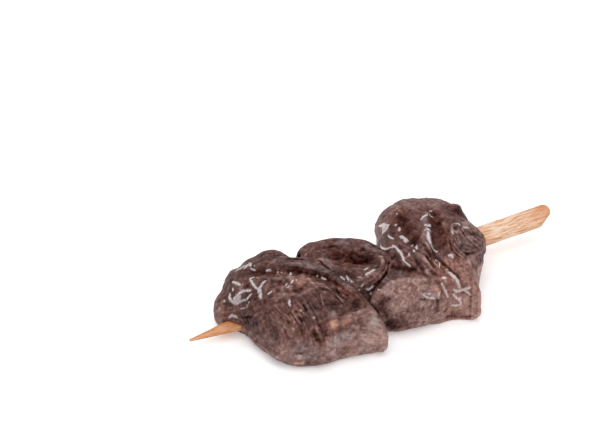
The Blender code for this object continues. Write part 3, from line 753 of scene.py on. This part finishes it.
# fibres that lean over the top, streaks towards the corner, crumbs everywhere
top = upper * (1 - on_pad) * bump_between(y, -20, 60, 4)
handle_skin.ripple(top, x + 0.3 * y, y, 1.2, 0.10, tone=0.12, stretch=7, sharp=0.3)
handle_skin.ripple(corner, x - 0.5 * y, x + y, 1.3, 0.14, tone=0.12, stretch=4)
handle_skin.ripple(on_pad, z + 0.4 * x, x - y, 1.0, 0.25, tone=0.5, stretch=5, sharp=0.3)
handle_skin.comb(top, x + 0.3 * y, y)
handle_skin.comb(corner, x - 0.5 * y, x + y, stretch=4)
handle_skin.comb(on_pad, z + 0.4 * x, x - y, stretch=6)
handle_skin.lumps(1.9, 0.10, seed=7.6, tone=0.14)
handle_skin.lumps(1.0, 0.09, seed=2.8, tone=0.16)
handle_skin.settle()
for streak, width in (
    ([(86, 18.5, 16), (86, 15, 19), (87, 12.5, 20.5)], 0.6),
    ([(87, 12.5, 20.5), (85.5, 12, 19.5), (85, 13, 17)], 0.7),
    ([(86, 15, 18.5), (85, 13.5, 17.5)], 0.6),
    ([(86.3, 15.5, 18.8), (86.2, 13.5, 19)], 1.0),
    ([(84.7, 8, 19.5), (84.5, 6.5, 20), (85, 4.5, 20.5)], 0.4),
    ([(88.5, 10, 21.5), (89.5, 11, 21.5)], 0.35),
    ([(89.5, 8.5, 21.5), (88.5, 6.5, 21.5)], 0.45),
    ([(87.5, 3.5, 21.5), (88, 1, 21.5), (87.5, -1, 22)], 0.75),
    ([(88, 3.5, 21.5), (88.5, -0.5, 22)], 0.6),
    ([(82.5, 10.5, 14), (82, 8, 14.5), (81.5, 4, 17), (82.5, 2, 18.5), (84, 0.5, 19.5)], 0.45),
    ([(83.5, 2, 19.5), (84, 0.5, 19.5), (83.5, -3, 20.5), (82.5, -7.5, 22.5), (82, -9.5, 22.5),
      (81.5, -11.5, 22.5), (82, -13, 22.5), (82.5, -14.5, 22)], 0.5),
    ([(89.5, -5.5, 23), (88.5, -8, 23.5)], 0.4),
    ([(88, -4.5, 22.5), (89, -4, 22.5)], 0.3),
    ([(87.5, -7.5, 23), (87, -9, 23.5)], 0.4),
    ([(85, -8.5, 23.5), (84.5, -10, 23)], 0.4),
    ([(97, 5.5, 24.5), (99, 6.5, 25), (100.5, 7.5, 24.5)], 0.45),
    ([(101.5, 10, 23.5), (103, 8.5, 22), (103.5, 8, 21.5)], 0.3),
    ([(103.5, 11.5, 22.5), (104.5, 11.5, 22)], 0.3),
    ([(96.5, 1.5, 25), (97.5, 1, 25), (100, 3, 23)], 0.6),
    ([(95, -1.5, 25), (96.5, -1.5, 25), (97.5, -1.5, 23.5)], 0.6),
    ([(95.5, -3, 25), (94.5, -5.5, 25), (94, -8, 24.5)], 0.7),
    ([(93.8, -8, 24.5), (94.5, -9.5, 23.5), (96, -10, 21)], 0.55),
    ([(93.5, -14, 21), (94, -14.5, 20)], 0.35),
    ([(94.5, -15, 19.5), (93.5, -17, 19.5)], 0.35),
    ([(108, -1, 24), (109.5, -1, 24), (109.5, -2, 23.5)], 0.4),
    ([(105.5, -3, 23), (105.5, -4.5, 22.5)], 0.35),
    ([(110.5, -3, 23), (112.5, -3.5, 22.5)], 0.3),
    ([(98.5, -14.5, 22), (99.5, -15, 22), (99.5, -16, 21.5)], 0.6),
    ([(92, -22.5, 19), (93.5, -22.5, 18.5)], 0.6),
    ([(91, -24, 18), (91.5, -25.5, 16), (92, -26, 14), (92.5, -26.5, 12.5)], 0.45),
    ([(96, -18.5, 19), (97, -21, 17.5), (97.5, -23, 17), (97.5, -25, 16), (97.5, -26, 15)], 0.6),
    ([(95, -26, 15), (96.5, -26, 14), (98.5, -27, 14.5), (100.5, -28.5, 16)], 0.6),
    ([(98.5, -27, 14.5), (99.5, -28, 14), (100.5, -29, 13)], 0.5),
    ([(94.5, -26.5, 13.5), (95.5, -27, 12), (96.5, -27.5, 11), (97.5, -27.5, 11.5)], 0.5),
    ([(96.5, -27.5, 11), (97.5, -27.5, 9), (97, -27.5, 8)], 0.5),
    ([(94, -27, 8.5), (95.5, -27, 8), (97, -27.5, 8)], 0.4),
    ([(88.5, -26.5, 13.5), (88.5, -26, 15), (89.5, -25.5, 15.5)], 0.3),
    ([(82, -25, 17), (83, -25.5, 16), (84.5, -26, 15), (86.5, -26.5, 14.5)], 0.35),
    ([(83, -25, 16.5), (85.5, -25.5, 16)], 0.4),
    ([(68, -17.5, 18), (68.5, -18.5, 18.5)], 0.3),
    ([(84, 27, 12), (88, 31, 11), (91, 31, 13)], 0.6),
    ([(96, 32, 14), (99, 32, 10), (100, 32, 7)], 0.5),
    ([(108, 26, 13), (111, 25, 10)], 0.6),
    ([(114, 3, 9), (115, 8, 8)], 0.4),
):
    handle_skin.film(streak, width)
handle_skin.drop((92, 16, 22), 0.4)
handle_skin.finish()

# ---- materials -------------------------------------------------------------------------

def add_node(tree, kind, links=None, **settings):
    """Add a node; links gives each socket its value, or another node's output."""
    made = tree.nodes.new(kind)
    for name, value in settings.items():
        setattr(made, name, value)
    for socket, value in (links or {}).items():
        if isinstance(value, bpy.types.NodeSocket):
            tree.links.new(value, made.inputs[socket])
        else:
            made.inputs[socket].default_value = value
    return made


def set_stops(ramp, stops):
    """Give a colour ramp its stops, as (place, hex colour)."""
    elements = ramp.color_ramp.elements
    while len(elements) < len(stops):
        elements.new(0.5)
    for element, (place, colour) in zip(elements, stops):
        element.position = place
        element.color = linear(colour)


def new_material(name):
    made = bpy.data.materials.new(name)
    made.use_nodes = True
    return made, made.node_tree, made.node_tree.nodes["Principled BSDF"]


def per_mm(size):
    """The texture scale for a pattern of the given size in mm, in Object coordinates."""
    return 1 / (size * MM)


def seared_glazed_beef():
    """Beef seared dark and brushed with a thin soy glaze: brown fibrous flesh, matt where it
    is dry, with a clear wet film that lies in streaks and pools."""
    made, tree, shader = new_material("seared glazed beef")
    where = add_node(tree, "ShaderNodeTexCoord").outputs["Object"]
    looks = {
        name: add_node(tree, "ShaderNodeAttribute", attribute_name=name).outputs["Fac"]
        for name in ("tone", "wet", "warm", "fine_painted_shade", "broad_painted_shade")
    }
    grain = add_node(
        tree, "ShaderNodeTexNoise",
        {"Vector": where, "Scale": per_mm(1.6), "Detail": 6.0, "Roughness": 0.65},
    ).outputs["Fac"]
    patches = add_node(
        tree, "ShaderNodeTexNoise",
        {"Vector": where, "Scale": per_mm(7.0), "Detail": 3.0, "Roughness": 0.55},
    ).outputs["Fac"]
    crumbs = add_node(
        tree, "ShaderNodeTexNoise",
        {"Vector": where, "Scale": per_mm(0.5), "Detail": 3.0, "Roughness": 0.65},
    ).outputs["Fac"]

    run = add_node(tree, "ShaderNodeAttribute", attribute_name="fibre_run").outputs["Vector"]
    fibres = add_node(
        tree, "ShaderNodeTexNoise",
        {"Vector": run, "Scale": per_mm(0.6), "Detail": 4.0, "Roughness": 0.65},
    ).outputs["Fac"]
    # tone: 0 black-brown, 1 pale flesh; the hollow measures paint shade into hollows and light onto
    # ridges; the last line takes off what the noises are on average
    level = looks["tone"]
    for source, gain in (
        (looks["fine_painted_shade"], 0.35), (looks["broad_painted_shade"], 0.06),
        (grain, 0.30), (crumbs, 0.32), (fibres, 0.46), (patches, 0.16),
    ):
        level = add_node(
            tree, "ShaderNodeMath", {0: source, 1: gain, 2: level}, operation="MULTIPLY_ADD"
        ).outputs[0]
    level = add_node(
        tree, "ShaderNodeMath", {0: level, 1: -0.62}, operation="ADD", use_clamp=True
    ).outputs[0]
    grey = add_node(tree, "ShaderNodeValToRGB", {"Fac": level})
    set_stops(grey, [
        (0.0, "#140B0A"), (0.25, "#35231F"), (0.5, "#604844"), (0.75, "#8A706C"), (1.0, "#B79E98"),
    ])
    red = add_node(tree, "ShaderNodeValToRGB", {"Fac": level})
    set_stops(red, [
        (0.0, "#180806"), (0.25, "#3E1D16"), (0.5, "#683D33"), (0.75, "#93695D"), (1.0, "#C09384"),
    ])
    fat = add_node(tree, "ShaderNodeValToRGB", {"Fac": level})
    set_stops(fat, [(0.0, "#3A160B"), (0.5, "#8A5238"), (0.75, "#C0825C"), (1.0, "#E0B48C")])
    redness = add_node(
        tree, "ShaderNodeMath", {0: patches, 1: 0.7, 2: looks["warm"]}, operation="MULTIPLY_ADD"
    ).outputs[0]
    colour = grey.outputs["Color"]
    for low, other in ((0.0, red), (1.2, fat)):
        share = add_node(
            tree, "ShaderNodeMapRange", {"Value": redness, "From Min": low, "From Max": low + 0.8}
        ).outputs["Result"]
        colour = add_node(
            tree, "ShaderNodeMix", {"Factor": share, 6: colour, 7: other.outputs["Color"]},
            data_type="RGBA",
        ).outputs[2]
    film = add_node(
        tree, "ShaderNodeMapRange",
        {"Value": looks["wet"], "From Min": 0.05, "From Max": 1.1},
    ).outputs["Result"]
    dry = add_node(
        tree, "ShaderNodeMapRange",
        {"Value": grain, "From Min": 0.3, "From Max": 0.7, "To Min": 0.45, "To Max": 0.65},
    ).outputs["Result"]
    bump = add_node(
        tree, "ShaderNodeBump", {"Height": crumbs, "Strength": 0.5, "Distance": 0.35 * MM}
    ).outputs["Normal"]
    bump = add_node(
        tree, "ShaderNodeBump",
        {"Height": fibres, "Strength": 0.6, "Distance": 0.45 * MM, "Normal": bump},
    ).outputs["Normal"]
    # char and deep hollows hardly shine
    sheen = add_node(
        tree, "ShaderNodeMapRange", {"Value": level, "To Min": 0.0, "To Max": 0.3}
    ).outputs["Result"]
    tree.links.new(sheen, shader.inputs["Specular IOR Level"])
    tree.links.new(colour, shader.inputs["Base Color"])
    tree.links.new(dry, shader.inputs["Roughness"])
    tree.links.new(bump, shader.inputs["Normal"])
    tree.links.new(film, shader.inputs["Coat Weight"])
    glaze = add_node(tree, "ShaderNodeAttribute", attribute_name="glaze_facing").outputs["Vector"]
    turned = add_node(
        tree, "ShaderNodeVectorTransform", {"Vector": glaze},
        vector_type="NORMAL", convert_from="OBJECT", convert_to="WORLD",
    ).outputs["Vector"]
    tree.links.new(turned, shader.inputs["Coat Normal"])
    shader.inputs["Coat Roughness"].default_value = 0.08
    shader.inputs["Coat IOR"].default_value = 2.2
    return made


def split_bamboo():
    """Bamboo split and planed flat: pale straw with long fibre streaks, toasted where it is
    thin and where it enters the meat."""
    made, tree, shader = new_material("split bamboo")
    where = add_node(tree, "ShaderNodeTexCoord").outputs["Object"]
    along = add_node(
        tree, "ShaderNodeMapping", {"Vector": where, "Scale": (0.12, 1.0, 1.0)}
    ).outputs["Vector"]
    streaks = add_node(
        tree, "ShaderNodeTexNoise",
        {"Vector": along, "Scale": per_mm(0.7), "Detail": 5.0, "Roughness": 0.65},
    ).outputs["Fac"]
    colour = add_node(tree, "ShaderNodeValToRGB", {"Fac": streaks})
    set_stops(colour, [(0.28, "#A8612E"), (0.41, "#CE9762"), (0.53, "#EBCCB0"), (0.75, "#F4E2CE")])
    place = add_node(tree, "ShaderNodeSeparateXYZ", {"Vector": where}).outputs["X"]
    # the dark streaks toast first
    toast = 0.0
    streaky = add_node(tree, "ShaderNodeMapRange", {
        "Value": streaks, "From Min": 0.4, "From Max": 0.6, "To Min": 1.0, "To Max": 0.6,
    }).outputs["Result"]
    for pale, browned, most in ((127, 118, 1.0), (134, 149, 1.0)):
        share = add_node(tree, "ShaderNodeMapRange", {
            "Value": place,
            "From Min": placed((pale, 0, 0)).x, "From Max": placed((browned, 0, 0)).x,
            "To Min": 0.0, "To Max": most,
        }).outputs["Result"]
        share = add_node(
            tree, "ShaderNodeMath", {0: share, 1: streaky}, operation="MULTIPLY"
        ).outputs[0]
        toast = add_node(tree, "ShaderNodeMath", {0: toast, 1: share}, operation="ADD").outputs[0]
    mixed = add_node(
        tree, "ShaderNodeMix",
        {"Factor": toast, 6: colour.outputs["Color"], 7: linear("#CB8145")}, data_type="RGBA",
    ).outputs[2]
    bump = add_node(
        tree, "ShaderNodeBump", {"Height": streaks, "Strength": 0.4, "Distance": 0.15 * MM}
    ).outputs["Normal"]
    tree.links.new(mixed, shader.inputs["Base Color"])
    tree.links.new(bump, shader.inputs["Normal"])
    shader.inputs["Roughness"].default_value = 0.55
    return made


beef = seared_glazed_beef()
bamboo = split_bamboo()
for skin, node in ((tip_skin, "meat_tip_side"), (handle_skin, "meat_handle_side")):
    skin.piece.data.materials.clear()
    skin.piece.data.materials.append(beef)
    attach(skin.piece, "root")
    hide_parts(node)
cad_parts["stick"].material_slots[0].material = bamboo

# ---- floor, light and camera -----------------------------------------------------------

scene = bpy.context.scene
scene.view_settings.view_transform = "Standard"

ground = bmesh.new()
bmesh.ops.create_grid(ground, x_segments=1, y_segments=1, size=4.0)
floor_mesh = bpy.data.meshes.new("floor")
ground.to_mesh(floor_mesh)
ground.free()
floor = add_object("floor", floor_mesh)
# an opal acrylic light table: matt white, with a glow of its own that thins the shadows
opal, opal_tree, opal_shader = new_material("opal acrylic light table")
opal_shader.inputs["Base Color"].default_value = linear("#F6F6F6")
opal_shader.inputs["Roughness"].default_value = 0.9
opal_shader.inputs["Specular IOR Level"].default_value = 0.0
opal_shader.inputs["Emission Color"].default_value = linear("#FFFFFF")
opal_shader.inputs["Emission Strength"].default_value = 0.3
floor_mesh.materials.append(opal)

world = bpy.data.worlds.new("studio")
world.use_nodes = True
world.node_tree.nodes["Background"].inputs["Color"].default_value = linear("#FAF8F8")
world.node_tree.nodes["Background"].inputs["Strength"].default_value = 0.3
scene.world = world


def add_softbox(name, toward, distance, width, height, glow, colour="#FFFFFF"):
    """A softbox that faces the kebab from the given direction; glow is how bright its front
    looks, against 1 for a white sheet in full light."""
    lamp = bpy.data.lights.new(name, "AREA")
    lamp.shape = "RECTANGLE"
    lamp.size = width
    lamp.size_y = height
    lamp.energy = glow * 4 * width * height
    lamp.color = linear(colour)[:3]
    made = add_object(name, lamp)
    direction = Vector(toward).normalized()
    made.location = placed((70, 0, 10)) + direction * distance
    made.rotation_euler = direction.to_track_quat("Z", "Y").to_euler()


add_softbox("back softbox", (0.1, 0.75, 0.68), 1.3, 1.7, 1.0, 0.8, "#FFFBFF")
add_softbox("back strip", KEY_FROM, 1.2, 0.6, 0.5, 1.7, "#FFFBFF")
add_softbox("top softbox", TOP_FROM, 1.5, 1.6, 1.6, 1.7, "#FFFDFF")

camera = bpy.data.cameras.new("camera")
camera.lens = 180
camera.sensor_width = 36
camera.clip_start = 0.05
camera.clip_end = 20
viewer = add_object("camera", camera)
viewer.location = placed(CAMERA_AIM) + to_camera * CAMERA_DISTANCE * MM
viewer.rotation_euler = to_camera.to_track_quat("Z", "Y").to_euler()
scene.camera = viewer
